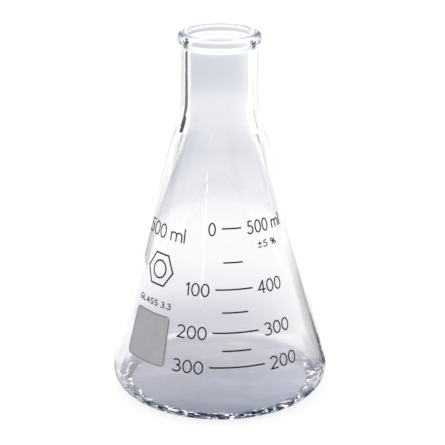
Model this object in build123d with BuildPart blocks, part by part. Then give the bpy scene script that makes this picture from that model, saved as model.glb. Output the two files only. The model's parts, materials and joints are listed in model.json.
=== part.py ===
from build123d import *
import os
from math import asin, atan2, cos, degrees, hypot, pi, radians, sin, sqrt, tan

# A 500 ml narrow-neck conical flask of borosilicate glass. The vessel is one
# blown wall: a shallow punt under the floor, a flat foot ring, a rounded heel,
# a straight cone, a cylindrical neck and a beaded rim. The printed marks are
# thin solids of fired enamel that lie on the outside of the cone.
#
# Millimetres. The origin is the centre of the foot ring, +Z is the axis, and
# the volume scale faces -Y. Azimuths are degrees from -Y towards +X.

os.makedirs("parts", exist_ok=True)

# ---- the glass vessel ----
overall_height = 178.0
body_diameter = 106.0
heel_radius = 10.0
neck_diameter = 36.4
bore_diameter = 30.5
shoulder_height = 144.5
shoulder_radius = 40.0
body_wall = 1.6

# ---- inside the shoulder, where the wall is thicker ----
inner_shoulder_height = 137.0
inner_shoulder_radius = 80.0
thickening_height = 80.0
thickening_radius = 300.0

# ---- the base ----
base_thickness = 2.0
punt_diameter = 74.0
punt_rise = 1.0

# ---- the beaded rim ----
rim_diameter = 39.4
bead_height = 6.4
bead_taper = 2.2
bead_blend_radius = 1.8
rim_edge_radius = 2.1
mouth_edge_radius = 1.9

# ---- the enamel print ----
enamel_thickness = 0.1
line_width = 0.7
label_gap = 2.7
numeral_drop = 0.4
character_gap = 0.13
screen_radius = 42.0
screen_stretch = 0.7
cut_depth = 4.0

# Lettering: height of a character, its width and the width of the pen.
scale_lettering = (6.4, 4.35, 0.68)
capacity_lettering = (7.0, 5.5, 0.68)
note_lettering = (3.4, 3.2, 0.5)
glass_type_lettering = (3.1, 2.6, 0.5)

# Volume in millilitres: length of its scale line, what has been poured out.
scale_lines = {
    500: (9.2, "0"),
    450: (9.3, None),
    400: (17.8, "100"),
    350: (12.4, None),
    300: (22.3, "200"),
    250: (14.0, None),
    200: (27.1, "300"),
}

# ---- the tolerance note, under the 500 ml numeral ----
note_azimuth = 30.5
note_height = 82.9

# ---- the second block of print, to the left of the scale ----
label_azimuth = -58.6
capacity_azimuth = -61.8
capacity_height = 86.7
emblem_height = 69.2
hexagon_across = 15.6
ring_radius = 4.6
emblem_pen = 0.8
glass_type_height = 53.6
spot_span = 31.1
spot_bottom = 25.3
spot_top = 48.9
spot_corner_radius = 2.2

# ---- derived outline ----
body_radius = body_diameter / 2
neck_radius = neck_diameter / 2
bore_radius = bore_diameter / 2
heel_centre = (body_radius - heel_radius, heel_radius)
shoulder_to_heel = hypot(heel_centre[0] - neck_radius, shoulder_height - heel_radius)
cone_angle = atan2(heel_centre[0] - neck_radius, shoulder_height - heel_radius) + asin(
    heel_radius / shoulder_to_heel
)
wall_across = body_wall / cos(cone_angle)
inner_heel_radius = heel_radius - body_wall
punt_radius = punt_diameter / 2
punt_sphere_radius = (punt_radius**2 + punt_rise**2) / (2 * punt_rise)
rim_radius = rim_diameter / 2


def cone_radius(height):
    """Outside radius of the straight wall at a height."""
    return neck_radius + (shoulder_height - height) * tan(cone_angle)


def inner_radius(height):
    """Inside radius of the body: an even wall, which thickens on the way up to the shoulder."""
    thickening = max(0.0, height - thickening_height)
    thickening_span = inner_shoulder_height - thickening_height
    even_radius = cone_radius(thickening_height) - wall_across
    if thickening == 0.0:
        return cone_radius(height) - wall_across
    return even_radius + (bore_radius - even_radius) * thickening / thickening_span


def cavity_area(height):
    """Free area inside the body, between the raised floor and the wall."""
    centre_height = base_thickness + inner_heel_radius
    centre_radius = inner_radius(centre_height) - inner_heel_radius / cos(cone_angle)
    above_centre = height - centre_height
    if above_centre < inner_heel_radius * sin(cone_angle):
        radius = centre_radius + sqrt(inner_heel_radius**2 - above_centre**2)
    else:
        radius = inner_radius(height)
    floor_left = max(0.0, 1 - (height - base_thickness) / punt_rise)
    return pi * (radius**2 - floor_left * punt_radius**2)


def fill_height(millilitres):
    """Height of the surface of a volume, by adding thin slices of the cavity."""
    slice_height = 0.02
    height = base_thickness + slice_height / 2
    volume = 0.0
    while volume < millilitres * 1000:
        volume += cavity_area(height) * slice_height
        height += slice_height
    return height


# ---- enamel helpers ----
def wall_plane(azimuth, height):
    """Plane that touches the cone, its Y up the wall and its Z out of it."""
    turn = radians(azimuth)
    radius = cone_radius(height)
    return Plane(
        origin=(radius * sin(turn), -radius * cos(turn), height),
        x_dir=(cos(turn), sin(turn), 0),
        z_dir=(
            cos(cone_angle) * sin(turn),
            -cos(cone_angle) * cos(turn),
            sin(cone_angle),
        ),
    )


def enamel_section(bottom, top):
    """Section of the enamel layer between two heights, on the XZ plane."""
    depth = enamel_thickness / cos(cone_angle)
    with BuildSketch(Plane.XZ) as section:
        with BuildLine():
            Polyline(
                (cone_radius(bottom), bottom),
                (cone_radius(top), top),
                (cone_radius(top) + depth, top),
                (cone_radius(bottom) + depth, bottom),
                close=True,
            )
        make_face()
    return section.sketch


def enamel_skin(bottom, top):
    """Whole ring of the enamel layer, from which the marks are cut."""
    with BuildPart() as skin:
        add(enamel_section(bottom, top))
        revolve(axis=Axis.Z)
    return skin.part


# Strokes of each character in a box one wide and one high: a polyline is a
# list of points, and an arc is its centre, its two radii, the angle at which
# it starts and the angle through which it turns, clockwise when negative.
strokes = {
    "0": [((0.5, 0.5), (0.5, 0.5), (0, 360))],
    "1": [[(0.0, 0.78), (0.75, 0.98)], [(0.75, 1.06), (0.75, -0.06)]],
    "2": [
        ((0.46, 0.71), (0.46, 0.29), (158, -201)),
        [(0.8, 0.51), (0.06, 0.0)],
        [(-0.06, 0.0), (1.0, 0.0)],
    ],
    "3": [
        ((0.45, 0.76), (0.43, 0.24), (150, -240)),
        ((0.45, 0.26), (0.53, 0.26), (90, -235)),
    ],
    "4": [[(0.74, -0.06), (0.74, 1.06)], [(0.74, 1.0), (0.0, 0.28), (1.1, 0.28)]],
    "5": [[(0.9, 1.0), (0.24, 1.0), (0.14, 0.58)], ((0.42, 0.31), (0.52, 0.32), (122, -270))],
    "m": [
        [(0.0, 0.0), (0.0, 0.7)],
        ((0.25, 0.45), (0.25, 0.23), (180, -180)),
        [(0.5, 0.45), (0.5, 0.0)],
        ((0.75, 0.45), (0.25, 0.23), (180, -180)),
        [(1.0, 0.45), (1.0, 0.0)],
    ],
    "l": [[(0.5, 0.0), (0.5, 1.08)]],
    ".": [[(0.5, -0.06), (0.5, 0.12)]],
    "±": [[(0.5, 0.32), (0.5, 1.0)], [(0.0, 0.66), (1.0, 0.66)], [(0.0, 0.06), (1.0, 0.06)]],
    "%": [
        ((0.2, 0.76), (0.2, 0.24), (0, 360)),
        ((0.8, 0.24), (0.2, 0.24), (0, 360)),
        [(0.18, 0.0), (0.82, 1.0)],
    ],
    "G": [((0.5, 0.5), (0.5, 0.5), (45, 280)), [(0.55, 0.44), (0.96, 0.44), (0.96, 0.12)]],
    "L": [[(0.0, 1.0), (0.0, 0.0), (0.9, 0.0)]],
    "A": [[(0.0, 0.0), (0.55, 1.0)], [(0.45, 1.0), (1.0, 0.0)], [(0.2, 0.34), (0.8, 0.34)]],
    "S": [
        ((0.5, 0.75), (0.46, 0.25), (30, 240)),
        ((0.5, 0.25), (0.46, 0.25), (90, -240)),
    ],
}
# Width of a character in numeral widths, where it isn't one.
character_widths = {"1": 0.62, "m": 1.5, "l": 0.2, ".": 0.2, " ": 0.4, "%": 1.3}


def character(name, width, height, pen):
    """One character as a flat sketch, drawn with lines as wide as the pen."""
    across = max(0.0, width - pen)
    up = height - pen
    with BuildSketch() as sketch:
        for stroke in strokes[name]:
            with BuildLine():
                if isinstance(stroke, list):
                    Polyline([((x - 0.5) * across, (y - 0.5) * up) for x, y in stroke])
                else:
                    (x, y), (x_radius, y_radius), (start, turn) = stroke
                    EllipticalCenterArc(
                        ((x - 0.5) * across, (y - 0.5) * up),
                        x_radius * across,
                        y_radius * up,
                        start_angle=start,
                        arc_size=turn,
                    )
            trace(line_width=pen)
    return sketch.sketch


def printed_text(text, azimuth, height, align, lettering):
    """Enamel text on the wall, centred on a height, one solid per stroke group.

    The azimuth is the text's left edge, middle or right edge, as align says.
    The screen stretches towards the wide end of the cone, so width does too.
    """
    size, nominal_width, pen = lettering
    radius = cone_radius(height)
    width = nominal_width * (radius / screen_radius) ** screen_stretch
    gap = character_gap * width
    widths = [width * character_widths.get(name, 1.0) for name in text]
    whole = sum(widths) + gap * (len(text) - 1)
    left = {Align.MIN: 0.0, Align.CENTER: -whole / 2, Align.MAX: -whole}[align]
    with BuildPart() as letters:
        for name, own_width in zip(text, widths):
            middle = azimuth + degrees((left + own_width / 2) / radius)
            left += own_width + gap
            if name == " ":
                continue
            with BuildSketch(wall_plane(middle, height)):
                add(character(name, own_width, size, pen))
            extrude(amount=cut_depth, both=True)
        add(enamel_skin(height - size, height + size), mode=Mode.INTERSECT)
    return letters.part


def write(part, name):
    """Label a finished piece and write its STEP file."""
    part.label = name
    export_step(part, f"parts/{name}.step")


# ---- the blown glass wall ----
with BuildPart() as glass_vessel:
    with BuildSketch(Plane.XZ):
        with BuildLine():
            RadiusArc((0, punt_rise), (punt_radius, 0), punt_sphere_radius)
            FilletPolyline(
                (punt_radius, 0),
                (cone_radius(0), 0),
                (neck_radius, shoulder_height),
                (neck_radius, overall_height - bead_height),
                (rim_radius, overall_height - bead_height + bead_taper),
                (rim_radius, overall_height),
                (bore_radius, overall_height),
                (bore_radius, inner_shoulder_height),
                (inner_radius(thickening_height), thickening_height),
                (inner_radius(base_thickness), base_thickness),
                (punt_radius, base_thickness),
                radius=[
                    heel_radius,
                    shoulder_radius,
                    bead_blend_radius,
                    bead_blend_radius,
                    rim_edge_radius,
                    mouth_edge_radius,
                    inner_shoulder_radius,
                    thickening_radius,
                    inner_heel_radius,
                ],
            )
            RadiusArc(
                (punt_radius, base_thickness),
                (0, base_thickness + punt_rise),
                -punt_sphere_radius,
            )
            Line((0, base_thickness + punt_rise), (0, punt_rise))
        make_face()
    revolve(axis=Axis.Z)
write(glass_vessel.part, "glass_vessel")

# ---- the volume scale: lines, and the numerals on both sides of them ----
for volume, (length, poured_out) in scale_lines.items():
    surface = fill_height(volume)
    span = degrees(length / cone_radius(surface))
    print(volume, "ml at", round(surface, 2), "mm, line spans", round(span, 1), "degrees")
    with BuildPart() as scale_line:
        half_line = line_width / 2 * cos(cone_angle)
        add(enamel_section(surface - half_line, surface + half_line))
        revolve(axis=Axis.Z, revolution_arc=span)
    facing = Rotation(0, 0, -90 - span / 2)
    write(facing * scale_line.part, f"scale_line_{volume}")
    if poured_out is None:
        continue
    reach = span / 2 + degrees(label_gap / cone_radius(surface))
    middle = surface - numeral_drop
    held = "500 ml" if volume == 500 else str(volume)
    to_the_left = printed_text(poured_out, -reach, middle, Align.MAX, scale_lettering)
    write(to_the_left, f"poured_numeral_{poured_out}")
    to_the_right = printed_text(held, reach, middle, Align.MIN, scale_lettering)
    write(to_the_right, f"volume_numeral_{volume}")

# ---- the tolerance note under the 500 ml numeral ----
note = printed_text("±5 %", note_azimuth, note_height, Align.CENTER, note_lettering)
write(note, "tolerance_note")

# ---- the second block: capacity, emblem, glass type and marking spot ----
capacity = printed_text("500 ml", capacity_azimuth, capacity_height, Align.CENTER, capacity_lettering)
write(capacity, "capacity_label")
glass_type = printed_text(
    "GLASS 3.3", label_azimuth, glass_type_height, Align.CENTER, glass_type_lettering
)
write(glass_type, "glass_type_label")

# A benzene ring: a hexagon with a circle inside it.
with BuildPart() as emblem:
    with BuildSketch(wall_plane(label_azimuth, emblem_height)):
        RegularPolygon(hexagon_across / 2, 6, major_radius=False)
        RegularPolygon(hexagon_across / 2 - emblem_pen, 6, major_radius=False, mode=Mode.SUBTRACT)
        Circle(ring_radius)
        Circle(ring_radius - emblem_pen, mode=Mode.SUBTRACT)
    extrude(amount=cut_depth, both=True)
    add(
        enamel_skin(emblem_height - hexagon_across, emblem_height + hexagon_across),
        mode=Mode.INTERSECT,
    )
write(emblem.part, "benzene_ring_emblem")

# A patch of enamel to write on in pencil. Its sides run up the wall and its top
# and bottom run round it, so flattened out it is part of a ring about the
# cone's apex.
spot_middle = (spot_bottom + spot_top) / 2
apex = (0, cone_radius(spot_middle) / sin(cone_angle))
sector = spot_span * sin(cone_angle)
with BuildPart() as marking_spot:
    with BuildSketch(wall_plane(label_azimuth, spot_middle)) as outline:
        with BuildLine():
            upper = CenterArc(
                apex, cone_radius(spot_top) / sin(cone_angle), -90 - sector / 2, arc_size=sector
            )
            lower = CenterArc(
                apex, cone_radius(spot_bottom) / sin(cone_angle), -90 - sector / 2, arc_size=sector
            )
            Line(upper @ 0, lower @ 0)
            Line(upper @ 1, lower @ 1)
        make_face()
        fillet(outline.vertices(), spot_corner_radius)
    extrude(amount=cut_depth, both=True)
    add(enamel_skin(spot_bottom - cut_depth, spot_top + cut_depth), mode=Mode.INTERSECT)
write(marking_spot.part, "marking_spot")
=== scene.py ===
import json
from math import asin, atan2, cos, hypot, pi, radians, sin, sqrt, tan

import bpy
from mathutils import Matrix, Vector, noise


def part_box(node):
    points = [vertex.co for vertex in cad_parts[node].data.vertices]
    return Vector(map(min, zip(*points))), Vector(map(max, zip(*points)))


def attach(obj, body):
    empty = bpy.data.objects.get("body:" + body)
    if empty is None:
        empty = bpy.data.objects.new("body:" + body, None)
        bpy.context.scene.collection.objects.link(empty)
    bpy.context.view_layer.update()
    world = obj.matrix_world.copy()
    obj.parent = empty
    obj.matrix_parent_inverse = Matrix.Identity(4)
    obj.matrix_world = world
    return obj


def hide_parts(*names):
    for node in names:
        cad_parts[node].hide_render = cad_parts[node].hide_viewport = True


# A 500 ml conical flask on a pale floor. The blown glass is one piece, revolved
# from the same outline as the CAD vessel, and the fired enamel marks are the
# CAD's own solids. Metres, in the row's frame.

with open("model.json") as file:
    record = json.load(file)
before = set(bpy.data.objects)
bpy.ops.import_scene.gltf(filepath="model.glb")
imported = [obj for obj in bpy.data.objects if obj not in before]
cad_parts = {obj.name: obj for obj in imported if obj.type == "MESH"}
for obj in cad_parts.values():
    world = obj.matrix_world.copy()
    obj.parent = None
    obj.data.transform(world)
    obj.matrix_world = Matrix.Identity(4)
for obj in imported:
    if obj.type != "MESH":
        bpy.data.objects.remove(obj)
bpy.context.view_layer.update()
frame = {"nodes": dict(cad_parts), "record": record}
MM = 0.001


def mount(name):
    """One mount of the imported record."""
    return next(m for m in frame["record"]["mounts"] if m["name"] == name)


# ---- the vessel's outline, from the frame and a few driving dimensions ----
overall_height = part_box("glass_vessel")[1].z
body_radius = 53.0 * MM
neck_radius = mount("neck_clamp_zone")["dims"]["r_mm"] * MM
bore_radius = mount("neck_bore")["dims"]["r_mm"] * MM
heel_radius = 10.0 * MM
shoulder_height = 144.5 * MM
shoulder_radius = 40.0 * MM
body_wall = 1.6 * MM
inner_shoulder_height = 137.0 * MM
inner_shoulder_radius = 80.0 * MM
thickening_height = 80.0 * MM
thickening_radius = 300.0 * MM
base_thickness = 2.0 * MM
punt_radius = 37.0 * MM
punt_rise = 1.0 * MM
rim_radius = 19.7 * MM
bead_height = 6.4 * MM
bead_taper = 2.2 * MM
bead_blend_radius = 1.8 * MM
rim_edge_radius = 2.1 * MM
mouth_edge_radius = 1.9 * MM

# The marking spot, bounded by two heights and two azimuths from -Y towards +X.
spot_low, spot_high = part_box("marking_spot")
spot_height = (spot_low.z + spot_high.z) / 2
spot_half_height = (spot_high.z - spot_low.z) / 2
spot_azimuth = radians(-58.6)
spot_half_azimuth = radians(15.55)

heel_reach = body_radius - heel_radius - neck_radius
heel_drop = shoulder_height - heel_radius
cone_angle = atan2(heel_reach, heel_drop) + asin(heel_radius / hypot(heel_reach, heel_drop))
wall_across = body_wall / cos(cone_angle)


def cone_radius(height):
    """Outside radius of the straight wall at a height."""
    return neck_radius + (shoulder_height - height) * tan(cone_angle)


# ---- meshes ----
CURVE_STEP = 0.6 * MM
LEAST_ARC_STEPS = 6
RUN_STEP = 3.0 * MM
AROUND = 320


def rounded_outline(corners):
    """Points along straight runs with an arc at each corner, in (radius, height).

    A corner is (radius, height, fillet).
    """
    points = []

    def run_to(target):
        start = points[-1]
        count = max(1, round((target - start).length / RUN_STEP))
        points.extend(start.lerp(target, i / count) for i in range(1, count + 1))

    points.append(Vector(corners[0][:2]))
    for before, corner, after in zip(corners, corners[1:], corners[2:]):
        here = Vector(corner[:2])
        back = (Vector(before[:2]) - here).normalized()
        ahead = (Vector(after[:2]) - here).normalized()
        half_angle = back.angle(ahead) / 2
        fillet = corner[2]
        run_to(here + back * (fillet / tan(half_angle)))
        centre = here + (back + ahead).normalized() * (fillet / sin(half_angle))
        first = points[-1] - centre
        last = here + ahead * (fillet / tan(half_angle)) - centre
        turn = first.angle_signed(last)
        count = max(LEAST_ARC_STEPS, round(abs(turn) * fillet / CURVE_STEP))
        for i in range(1, count + 1):
            points.append(centre + Matrix.Rotation(-turn * i / count, 2) @ first)
    run_to(Vector(corners[-1][:2]))
    return points


def punt(height):
    """Points of the shallow dome under the floor or in it, from the axis out."""
    dome_radius = (punt_radius**2 + punt_rise**2) / (2 * punt_rise)
    dome_centre = height + punt_rise - dome_radius
    count = round(punt_radius / RUN_STEP)
    radii = [punt_radius * i / count for i in range(count)]
    return [Vector((r, dome_centre + sqrt(dome_radius**2 - r * r))) for r in radii]


def outside_outline():
    """Under the base, up the outside and over the rim to the middle of its top."""
    top = overall_height
    rim_middle = (rim_radius + bore_radius) / 2
    corners = [
        (punt_radius, 0, 0),
        (cone_radius(0), 0, heel_radius),
        (neck_radius, shoulder_height, shoulder_radius),
        (neck_radius, top - bead_height, bead_blend_radius),
        (rim_radius, top - bead_height + bead_taper, bead_blend_radius),
        (rim_radius, top, rim_edge_radius),
        (rim_middle, top, 0),
    ]
    return punt(0) + rounded_outline(corners)


def inside_outline():
    """From the middle of the rim down the bore, the cone and the heel to the axis."""
    rim_middle = (rim_radius + bore_radius) / 2
    corners = [
        (rim_middle, overall_height, 0),
        (bore_radius, overall_height, mouth_edge_radius),
        (bore_radius, inner_shoulder_height, inner_shoulder_radius),
        (cone_radius(thickening_height) - wall_across, thickening_height, thickening_radius),
        (cone_radius(base_thickness) - wall_across, base_thickness, heel_radius - body_wall),
        (punt_radius, base_thickness, 0),
    ]
    return rounded_outline(corners)[1:] + punt(base_thickness)[::-1]


# Waves in the glass: rolls, longer up the wall than across it, and finer ripples at the heel.
ROLL_SIZE = 19.0 * MM
ROLL_SQUASH = 0.6
RIPPLE_FINENESS = 3.4
HEEL_WAVES_HEIGHT = 26.0 * MM
HEEL_WAVES_RADIUS = 20.0 * MM

# They die away towards the axis, the rim and the bench.
CALM_AXIS_RADIUS = 12.0 * MM
CALM_RIM_DEPTH = 9.0 * MM
CALM_FOOT_HEIGHT = 2.5 * MM


def rising(distance, length):
    """0 at no distance and below, 1 at a length and beyond, even in between."""
    return min(1.0, max(0.0, distance) / length)


def waviness(point, heel_share, inside):
    """How far blown glass stands off its ideal surface, along the normal.

    The outside is nearly smooth. The inside, which no mould touched, rolls gently
    on the cone and more at the heel, where the glass gathered.
    """
    stretched = Vector((point.x, point.y, point.z * ROLL_SQUASH)) / ROLL_SIZE
    roll_start = Vector((3.1, 7.7, 1.3 if inside else 5.9))
    ripple_start = Vector((9.2, 0.4, 4.1 if inside else 2.2))
    roll = noise.noise(stretched + roll_start)
    ripple = noise.noise(stretched * RIPPLE_FINENESS + ripple_start)
    if inside:
        everywhere, heel_roll, heel_ripple = 0.06 * roll, 0.25, 0.30
    else:
        everywhere, heel_roll, heel_ripple = 0.02 + 0.02 * roll, 0.06, 0.10
    return (everywhere + heel_share * (heel_roll * roll + heel_ripple * ripple)) * MM


def blown(outline_outside, outline_inside):
    """Closed smooth mesh of the wall, revolved about Z and slightly uneven as blown glass is."""
    outline = outline_outside + outline_inside
    mesh = bpy.data.meshes.new("blown_glass")
    vertices = [(0, 0, outline[0].y)]
    for index in range(1, len(outline) - 1):
        point = outline[index]
        along = (outline[index + 1] - outline[index - 1]).normalized()
        normal = Vector((along.y, -along.x))
        inside = index >= len(outline_outside)
        above_floor = point.y - (base_thickness if inside else 0)
        heel_share = 1.0 - rising(above_floor, HEEL_WAVES_HEIGHT)
        heel_share *= rising(point.x, HEEL_WAVES_RADIUS)
        strength = rising(point.x, CALM_AXIS_RADIUS)
        strength *= rising(overall_height - point.y, CALM_RIM_DEPTH)
        if not inside:
            strength *= rising(point.y, CALM_FOOT_HEIGHT)
        for k in range(AROUND):
            turn = 2 * pi * k / AROUND
            place = Vector((point.x * cos(turn), point.x * sin(turn), point.y))
            shift = waviness(place, heel_share, inside) * strength
            radius = point.x + normal.x * shift
            vertices.append((radius * cos(turn), radius * sin(turn), point.y + normal.y * shift))
    vertices.append((0, 0, outline[-1].y))
    rings = len(outline) - 2
    faces = [(0, 1 + (k + 1) % AROUND, 1 + k) for k in range(AROUND)]
    for ring in range(rings - 1):
        start = 1 + ring * AROUND
        for k in range(AROUND):
            beside = (k + 1) % AROUND
            faces.append((start + k, start + beside, start + AROUND + beside, start + AROUND + k))
    start = 1 + (rings - 1) * AROUND
    faces += [(start + k, start + (k + 1) % AROUND, len(vertices) - 1) for k in range(AROUND)]
    mesh.from_pydata(vertices, [], faces)
    mesh.update()
    mesh.shade_smooth()
    piece = bpy.data.objects.new("blown_glass", mesh)
    bpy.context.scene.collection.objects.link(piece)
    return piece


# ---- node helpers ----
WHITE = (1.0, 1.0, 1.0)


def new_material(name):
    """A new material, its node tree and its Principled shader."""
    material = bpy.data.materials.new(name)
    material.use_nodes = True
    tree = material.node_tree
    return material, tree, tree.nodes["Principled BSDF"]


def feed(tree, socket, value):
    """Gives a socket a plain value, or links another node's output to it."""
    if isinstance(value, bpy.types.NodeSocket):
        tree.links.new(value, socket)
    else:
        socket.default_value = value


def math_node(tree, operation, first, second=0.0, clamp=False):
    """A Math node's output; each input is a number or another node's output."""
    node = tree.nodes.new("ShaderNodeMath")
    node.operation = operation
    node.use_clamp = clamp
    feed(tree, node.inputs[0], first)
    feed(tree, node.inputs[1], second)
    return node.outputs[0]


def ramp(tree, factor, stops):
    """A colour ramp fed by factor, with stops (position, colour) or (position, colour, alpha)."""
    node = tree.nodes.new("ShaderNodeValToRGB")
    elements = node.color_ramp.elements
    while len(elements) < len(stops):
        elements.new(0.5)
    for element, (position, colour, *alpha) in zip(elements, stops):
        element.position = position
        element.color = (*colour, alpha[0] if alpha else 1.0)
    tree.links.new(factor, node.inputs["Fac"])
    return node


def mix(tree, factor, first, second, blend="MIX"):
    """A Mix node's colour; its factor and colours are values or other nodes' outputs."""
    node = tree.nodes.new("ShaderNodeMix")
    node.data_type = "RGBA"
    node.blend_type = blend
    feed(tree, node.inputs["Factor"], factor)
    feed(tree, node.inputs["A"], first)
    feed(tree, node.inputs["B"], second)
    return node.outputs["Result"]


def own_place(tree):
    """Position in the object's own axes."""
    return tree.nodes.new("ShaderNodeTexCoord").outputs["Object"]


def split(tree, vector):
    """A vector's X, Y and Z outputs."""
    node = tree.nodes.new("ShaderNodeSeparateXYZ")
    tree.links.new(vector, node.inputs[0])
    return node.outputs


def reach(tree):
    """Distance from the object's own origin."""
    node = tree.nodes.new("ShaderNodeVectorMath")
    node.operation = "LENGTH"
    tree.links.new(own_place(tree), node.inputs[0])
    return node.outputs["Value"]


def scaled(tree, vector, scale):
    """A vector stretched along its three axes."""
    node = tree.nodes.new("ShaderNodeMapping")
    node.inputs["Scale"].default_value = scale
    tree.links.new(vector, node.inputs["Vector"])
    return node.outputs["Vector"]


def noise_node(tree, coordinates, scale, detail=2.0):
    """A noise texture's value, about scale features to the metre."""
    node = tree.nodes.new("ShaderNodeTexNoise")
    node.inputs["Scale"].default_value = scale
    node.inputs["Detail"].default_value = detail
    tree.links.new(coordinates, node.inputs["Vector"])
    return node.outputs["Fac"]


def bump(tree, shader, height, depth, strength=1.0):
    """Bump from a height output, where a full step of height is depth metres."""
    node = tree.nodes.new("ShaderNodeBump")
    node.inputs["Strength"].default_value = strength
    node.inputs["Distance"].default_value = depth
    tree.links.new(height, node.inputs["Height"])
    tree.links.new(node.outputs["Normal"], shader.inputs["Normal"])


# ---- node materials ----
def glass_material():
    """Clear borosilicate: a trace of blue in its depth and faint drag lines up the wall."""
    material, tree, shader = new_material("borosilicate_glass")
    shader.inputs["Base Color"].default_value = (1.0, 1.0, 1.0, 1.0)
    shader.inputs["Roughness"].default_value = 0.0
    shader.inputs["IOR"].default_value = 1.473
    shader.inputs["Transmission Weight"].default_value = 1.0
    absorb = tree.nodes.new("ShaderNodeVolumeAbsorption")
    absorb.inputs["Color"].default_value = (0.35, 0.45, 0.75, 1.0)
    absorb.inputs["Density"].default_value = 3.0
    tree.links.new(absorb.outputs[0], tree.nodes["Material Output"].inputs["Volume"])
    drawn_out = scaled(tree, own_place(tree), (1.0, 1.0, 0.12))
    drag = noise_node(tree, drawn_out, scale=260.0, detail=3.0)
    bump(tree, shader, drag, depth=0.03 * MM)
    return material


def dark_enamel_material():
    """Dark grey screen print fired on: satin and mottled, with a few lighter flecks."""
    material, tree, shader = new_material("grey_enamel")
    place = own_place(tree)
    mottle = noise_node(tree, place, scale=900.0, detail=4.0)
    ink_tones = [
        (0.30, (0.002, 0.002, 0.003)),
        (0.62, (0.006, 0.006, 0.008)),
        (0.78, (0.08, 0.08, 0.09)),
    ]
    tree.links.new(ramp(tree, mottle, ink_tones).outputs["Color"], shader.inputs["Base Color"])
    grain = noise_node(tree, place, scale=4200.0)
    least_roughness, roughness_range = 0.35, 0.3
    dullness = math_node(tree, "MULTIPLY", grain, roughness_range)
    dullness = math_node(tree, "ADD", dullness, least_roughness)
    tree.links.new(dullness, shader.inputs["Roughness"])
    shader.inputs["Specular IOR Level"].default_value = 0.2
    bump(tree, shader, grain, depth=0.02 * MM, strength=0.5)
    return material


def spot_enamel_material():
    """Light grey marking spot: matt, toothed so that pencil takes, with a darker rim."""
    material, tree, shader = new_material("marking_enamel")
    place = own_place(tree)
    speckle = noise_node(tree, place, scale=2600.0, detail=3.0)
    cloud = noise_node(tree, place, scale=140.0)
    speckle_share = 0.7
    mottle = math_node(
        tree, "ADD",
        math_node(tree, "MULTIPLY", speckle, speckle_share),
        math_node(tree, "MULTIPLY", cloud, 1.0 - speckle_share),
    )
    colour = ramp(tree, mottle, [(0.3, (0.31, 0.315, 0.335)), (0.7, (0.41, 0.415, 0.435))])
    along = split(tree, place)
    towards_scale = math_node(tree, "MULTIPLY", along["Y"], -1.0)
    azimuth = math_node(tree, "ARCTAN2", along["X"], towards_scale)
    off_azimuth = math_node(tree, "ABSOLUTE", math_node(tree, "SUBTRACT", azimuth, spot_azimuth))
    off_height = math_node(tree, "ABSOLUTE", math_node(tree, "SUBTRACT", along["Z"], spot_height))
    outward = math_node(
        tree, "MAXIMUM",
        math_node(tree, "DIVIDE", off_azimuth, spot_half_azimuth),
        math_node(tree, "DIVIDE", off_height, spot_half_height),
    )
    # The spot darkens in a thin band along its edge.
    rim_darkening = ramp(tree, outward, [(0.0, WHITE), (0.93, WHITE), (0.97, (0.55, 0.55, 0.56))])
    inked = mix(tree, 1.0, colour.outputs["Color"], rim_darkening.outputs["Color"], "MULTIPLY")
    tree.links.new(inked, shader.inputs["Base Color"])
    shader.inputs["Roughness"].default_value = 0.85
    shader.inputs["Specular IOR Level"].default_value = 0.2
    bump(tree, shader, speckle, depth=0.03 * MM, strength=0.6)
    return material


glass = glass_material()
dark_enamel = dark_enamel_material()
spot_enamel = spot_enamel_material()

# ---- pieces ----
vessel = blown(outside_outline(), inside_outline())
vessel.data.materials.append(glass)
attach(vessel, "root")
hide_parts("glass_vessel")

for name, node in frame["nodes"].items():
    if name == "glass_vessel":
        continue
    spot = name == "marking_spot"
    node.data.materials.clear()
    node.data.materials.append(spot_enamel if spot else dark_enamel)

# ---- camera ----
view_azimuth = radians(-10.1)
view_pitch = radians(19.55)
camera_distance = 0.708
camera_height = 0.335
camera_side = 1.35 * MM
sensor_width_mm = 36.0
lens_mm = 125.0
camera_data = bpy.data.cameras.new("camera")
camera_data.sensor_width = sensor_width_mm
camera_data.lens = lens_mm
camera = bpy.data.objects.new("camera", camera_data)
bpy.context.scene.collection.objects.link(camera)
camera.location = (
    camera_distance * sin(view_azimuth) + camera_side * cos(view_azimuth),
    -camera_distance * cos(view_azimuth) + camera_side * sin(view_azimuth),
    camera_height,
)
camera.rotation_euler = (pi / 2 - view_pitch, 0, view_azimuth)
bpy.context.scene.camera = camera

# ---- floor ----
# The camera sees it evenly white, with a faint shadow. Glass sees it white too, but for a soft
# pool of shade that the flask stands in.
floor_half = 6.0
floor_gap = 0.2 * MM
floor_grey = (0.28, 0.28, 0.28, 1.0)
floor_glow = 0.78
pool_tones = [
    (0.0, (0.80, 0.81, 0.87)),
    (0.050, (0.80, 0.81, 0.87)),
    (0.062, (0.93, 0.94, 0.97)),
    (0.080, WHITE),
]
floor_mesh = bpy.data.meshes.new("floor")
floor_corners = [
    (-floor_half, -floor_half, 0), (floor_half, -floor_half, 0),
    (floor_half, floor_half, 0), (-floor_half, floor_half, 0),
]
floor_mesh.from_pydata(floor_corners, [], [range(len(floor_corners))])
floor = bpy.data.objects.new("floor", floor_mesh)
bpy.context.scene.collection.objects.link(floor)
floor.location.z = -floor_gap
floor_material, tree, shader = new_material("floor")
shader.inputs["Roughness"].default_value = 0.8
shader.inputs["Specular IOR Level"].default_value = 0.0
pool = ramp(tree, reach(tree), pool_tones).outputs["Color"]
to_camera = tree.nodes.new("ShaderNodeLightPath").outputs["Is Camera Ray"]
tree.links.new(mix(tree, to_camera, pool, floor_grey), shader.inputs["Base Color"])
shader.inputs["Emission Color"].default_value = (*WHITE, 1.0)
glow_strength = math_node(tree, "MULTIPLY", to_camera, floor_glow)
tree.links.new(glow_strength, shader.inputs["Emission Strength"])
floor_material.cycles.emission_sampling = "NONE"
floor_mesh.materials.append(floor_material)

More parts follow.
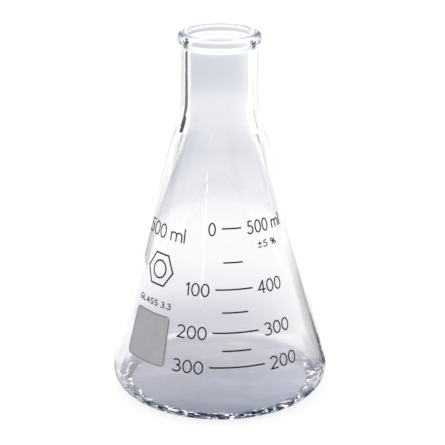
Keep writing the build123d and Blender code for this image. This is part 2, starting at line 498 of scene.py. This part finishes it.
# ---- room ----
# White all round: plain for the camera and for what lights the print, and a little cooler
# near the horizon for what the glass bends and mirrors.
room_light = (1.1, 1.1, 1.1, 1.0)
horizon = (0.95, 0.96, 0.98)
world = bpy.data.worlds.new("studio")
bpy.context.scene.world = world
world.use_nodes = True
world.cycles.sampling_method = "NONE"
tree = world.node_tree
rays = tree.nodes.new("ShaderNodeLightPath").outputs
plain = math_node(tree, "ADD", rays["Is Camera Ray"], rays["Is Diffuse Ray"], clamp=True)
upward = split(tree, tree.nodes.new("ShaderNodeTexCoord").outputs["Generated"])["Z"]
dome = ramp(tree, upward, [(0.0, horizon), (0.6, WHITE)]).outputs["Color"]
tree.links.new(mix(tree, plain, dome, room_light), tree.nodes["Background"].inputs["Color"])

# ---- cards ----
# They stand and lie round the flask and turn with the camera, as when the flask stands on a
# turntable. They show only in what glass bends and what a surface mirrors.
turntable = bpy.data.objects.new("turntable", None)
bpy.context.scene.collection.objects.link(turntable)
facing = turntable.constraints.new("LOCKED_TRACK")
facing.target = camera
facing.track_axis = "TRACK_NEGATIVE_Y"
facing.lock_axis = "LOCK_Z"
DARK = (0.012, 0.014, 0.022)
GREY = (0.55, 0.56, 0.58)


def panel(name, corners):
    """A flat polygon on the turntable, with its material's tree and its own X, Y and Z there."""
    mesh = bpy.data.meshes.new(name)
    mesh.from_pydata(corners, [], [range(len(corners))])
    flat = bpy.data.objects.new(name, mesh)
    bpy.context.scene.collection.objects.link(flat)
    flat.parent = turntable
    flat.visible_camera = False
    flat.visible_diffuse = False
    flat.visible_shadow = False
    material = bpy.data.materials.new(name)
    material.use_nodes = True
    material.cycles.emission_sampling = "NONE"
    tree = material.node_tree
    tree.nodes.clear()
    mesh.materials.append(material)
    return flat, tree, split(tree, own_place(tree))


def glow_through(tree, colour, opacity, strength=1.0):
    """The panel glows in a colour where it is opaque and is clear where it isn't."""
    glow = tree.nodes.new("ShaderNodeEmission")
    glow.inputs["Strength"].default_value = strength
    tree.links.new(colour, glow.inputs["Color"])
    blend = tree.nodes.new("ShaderNodeMixShader")
    tree.links.new(opacity, blend.inputs[0])
    tree.links.new(tree.nodes.new("ShaderNodeBsdfTransparent").outputs[0], blend.inputs[1])
    tree.links.new(glow.outputs[0], blend.inputs[2])
    tree.links.new(blend.outputs[0], tree.nodes.new("ShaderNodeOutputMaterial").inputs["Surface"])


def span(tree, value, start, end):
    """0 at start and 1 at end of a coordinate, clamped."""
    beyond = math_node(tree, "SUBTRACT", value, start)
    return math_node(tree, "DIVIDE", beyond, end - start, clamp=True)


def card(name, colour, depth, heights, fade, edges, strength=1.0):
    """An upright panel, depth metres behind the flask's axis, that fades out at top and bottom.

    Edges are (side, opacity), from left to right, with side in metres to the right of the axis.
    """
    bottom, top = heights
    left, right = edges[0][0], edges[-1][0]
    corners = [(left, 0, bottom), (right, 0, bottom), (right, 0, top), (left, 0, top)]
    upright, tree, place = panel(name, corners)
    upright.location = (0, depth, 0)
    stops = [((side - left) / (right - left), colour, opacity) for side, opacity in edges]
    tone = ramp(tree, span(tree, place["X"], left, right), stops)
    below_top = span(tree, place["Z"], top, top - fade)
    above_bottom = span(tree, place["Z"], bottom, bottom + fade)
    opacity = math_node(tree, "MULTIPLY", tone.outputs["Alpha"], below_top)
    opacity = math_node(tree, "MULTIPLY", opacity, above_bottom)
    glow_through(tree, tone.outputs["Color"], opacity, strength)
    return upright


def by_depth(tree, depth, tones):
    """Colour along a lying panel, from (depth, colour) tones."""
    near, far = tones[0][0], tones[-1][0]
    stops = [((place - near) / (far - near), colour) for place, colour in tones]
    return ramp(tree, span(tree, depth, near, far), stops).outputs["Color"]


# Two low dark flags far out to the left. The edge of the bore bends their image into the dark
# line down that side of the neck: the nearer one for its lower half, the other for its upper.
card(
    "flag_left", DARK, depth=0.25, heights=(-0.02, 0.059), fade=0.004,
    edges=[(-0.42, 0.0), (-0.41, 1.0), (-0.205, 1.0), (-0.201, 0.0), (-0.19, 0.0)],
)
card(
    "far_flag_left", DARK, depth=0.39, heights=(-0.02, 0.056), fade=0.004,
    edges=[(-0.66, 0.0), (-0.64, 1.0), (-0.339, 1.0), (-0.333, 0.0), (-0.33, 0.0)],
)
# A pale one to the right draws the fainter line there.
card(
    "flag_right", GREY, depth=0.25, heights=(-0.02, 0.068), fade=0.006,
    edges=[(0.24, 0.0), (0.26, 0.0), (0.268, 1.0), (0.31, 1.0), (0.32, 0.0), (0.34, 0.0)],
)

# High and wide flags and lower wings, for the dark accents at both ends of the bead.
card(
    "rim_flag_left", DARK, depth=0.25, heights=(0.175, 0.40), fade=0.01,
    edges=[(-1.2, 1.0), (-0.22, 1.0), (-0.20, 0.0)],
)
card(
    "rim_flag_right", DARK, depth=0.25, heights=(0.175, 0.40), fade=0.01,
    edges=[(0.20, 0.0), (0.22, 1.0), (1.2, 1.0)],
)
card(
    "wing_left", DARK, depth=0.26, heights=(0.085, 0.20), fade=0.01,
    edges=[(-1.2, 1.0), (-0.36, 1.0), (-0.34, 0.0)],
)
card(
    "wing_right", DARK, depth=0.26, heights=(0.085, 0.15), fade=0.01,
    edges=[(0.34, 0.0), (0.36, 1.0), (1.2, 1.0)],
)

# Two flags close to the flask darken its outline low on the right.
card(
    "heel_flag_right", DARK, depth=0.018, heights=(-0.02, 0.022), fade=0.005,
    edges=[(0.058, 0.0), (0.0605, 1.0), (0.14, 1.0)],
)
card(
    "low_flag", DARK, depth=0.028, heights=(-0.03, 0.075), fade=0.03,
    edges=[(0.062, 0.0), (0.065, 1.0), (0.11, 1.0), (0.12, 0.0)],
)

# Soft shade that lies in a wedge behind the flask, crisp on its left edge and thin on its
# right. Seen through the flask, it is the grey in the cone and the neck.
shade_near, shade_far = 0.056, 0.90
shade_near_half, shade_far_half = 0.05, 0.32
shade_corners = [
    (-shade_near_half, shade_near, 0), (shade_near_half, shade_near, 0),
    (shade_far_half, shade_far, 0), (-shade_far_half, shade_far, 0),
]
_, tree, place = panel("shade_behind", shade_corners)
outward = span(tree, place["Y"], shade_near, shade_far)
widening = math_node(tree, "MULTIPLY", outward, shade_far_half - shade_near_half)
half = math_node(tree, "ADD", widening, shade_near_half)
sideways = math_node(tree, "DIVIDE", place["X"], half)
across = math_node(tree, "ADD", math_node(tree, "MULTIPLY", sideways, 0.5), 0.5)
thinning = [
    (0.0, WHITE, 0.0),
    (0.03, WHITE, 1.0),
    (0.30, WHITE, 0.95),
    (0.62, WHITE, 0.84),
    (0.80, WHITE, 0.60),
    (0.92, WHITE, 0.30),
    (1.0, WHITE, 0.0),
]
shade_tones = [
    (shade_near, (0.58, 0.58, 0.64)),
    (0.085, (0.62, 0.62, 0.69)),
    (0.13, (0.88, 0.88, 0.92)),
    (0.17, (0.99, 0.99, 1.0)),
    (0.26, (1.01, 1.01, 1.02)),
    (0.33, (0.94, 0.94, 0.96)),
    (0.39, (0.77, 0.78, 0.83)),
    (0.45, (0.75, 0.76, 0.81)),
    (0.51, (0.65, 0.67, 0.73)),
    (0.57, (0.60, 0.62, 0.68)),
    (0.64, (0.55, 0.58, 0.645)),
    (0.70, (0.57, 0.60, 0.66)),
    (0.77, (0.71, 0.73, 0.77)),
    (0.84, (0.88, 0.89, 0.91)),
    (shade_far, WHITE),
]
shade_opacity = ramp(tree, across, thinning).outputs["Alpha"]
glow_through(tree, by_depth(tree, reach(tree), shade_tones), shade_opacity)

# The flask's own shade under its foot: darkest where the heel leaves the floor on the
# camera's side, soft towards the back, with the wisps of light that an uneven heel throws.
foot_radius = 60.0 * MM
foot_gap = 0.1 * MM
foot_sides = 128
foot_turns = [2 * pi * k / foot_sides for k in range(foot_sides)]
foot_corners = [(foot_radius * cos(t), foot_radius * sin(t), -foot_gap) for t in foot_turns]
_, tree, place = panel("shade_below", foot_corners)
foot_tones = [
    (-foot_radius, (0.20, 0.23, 0.33)),
    (-0.036, (0.22, 0.25, 0.36)),
    (-0.026, (0.29, 0.32, 0.43)),
    (-0.01, (0.33, 0.34, 0.45)),
    (0.02, (0.40, 0.40, 0.49)),
    (0.048, (0.60, 0.60, 0.66)),
    (foot_radius, (0.90, 0.90, 0.93)),
]
wisps = noise_node(tree, scaled(tree, own_place(tree), (0.45, 1.0, 1.0)), scale=70.0)
wisp_tones = [(0.35, (0.88, 0.88, 0.88)), (0.55, WHITE), (0.70, (1.25, 1.25, 1.25))]
wisp_light = ramp(tree, wisps, wisp_tones).outputs["Color"]
lit = mix(tree, 1.0, by_depth(tree, place["Y"], foot_tones), wisp_light, "MULTIPLY")

# It is a little lighter on the right than on the left.
light_left, light_right = 0.88, 1.08
rightward = span(tree, place["X"], 0.005, 0.035)
light_gain = math_node(tree, "MULTIPLY", rightward, light_right - light_left)
light_gain = math_node(tree, "ADD", light_gain, light_left)
tilted = tree.nodes.new("ShaderNodeVectorMath")
tilted.operation = "SCALE"
tree.links.new(lit, tilted.inputs[0])
tree.links.new(light_gain, tilted.inputs["Scale"])

# Under the front of the heel lies a ring of painted contact shadow in dark flecks, with light
# flecks of painted glint among them.
from_middle = math_node(tree, "DIVIDE", reach(tree), foot_radius)
ring_tones = [(0.73, WHITE, 0.0), (0.75, WHITE, 1.0), (0.89, WHITE, 1.0), (0.905, WHITE, 0.0)]
ring = ramp(tree, from_middle, ring_tones).outputs["Alpha"]
ring_share = math_node(tree, "MULTIPLY", ring, span(tree, place["Y"], 0.030, 0.002))
# Noise that splits the ring into dark flecks of painted shadow and light flecks of painted glint.
flecks = noise_node(tree, own_place(tree), scale=260.0, detail=3.0)
shadow_and_glint_tones = [
    (0.40, (0.004, 0.007, 0.025)),
    (0.52, (0.012, 0.018, 0.05)),
    (0.56, (0.45, 0.50, 0.62)),
    (0.62, (1.6, 1.6, 1.6)),
]
painted_shadow_and_glints = ramp(tree, flecks, shadow_and_glint_tones).outputs["Color"]
edged = mix(tree, ring_share, tilted.outputs["Vector"], painted_shadow_and_glints)
rim_fade = ramp(tree, from_middle, [(0.0, WHITE, 1.0), (0.90, WHITE, 1.0), (0.95, WHITE, 0.0)])
glow_through(tree, edged, rim_fade.outputs["Alpha"])

# A small strip light to the left of the camera, which draws one streak down the cone.
strip_azimuth = radians(-25.0)
strip_distance = 1.0
strip = card(
    "strip_light", WHITE, depth=0.0, heights=(0.16, 0.32), fade=0.02,
    edges=[(-0.015, 0.0), (-0.008, 1.0), (0.008, 1.0), (0.015, 0.0)], strength=8.0,
)
strip.location = (strip_distance * sin(strip_azimuth), -strip_distance * cos(strip_azimuth), 0)
strip.rotation_euler = (0, 0, strip_azimuth)

# Light that is caught in the bead or the heel needs many bounces to come out again.
glass_bounces = 120
scene = bpy.context.scene
scene.view_settings.view_transform = "Standard"
scene.cycles.max_bounces = glass_bounces
scene.cycles.transmission_bounces = glass_bounces
scene.cycles.glossy_bounces = glass_bounces
scene.cycles.diffuse_bounces = 4
scene.cycles.transparent_max_bounces = 60
scene.cycles.use_denoising = True
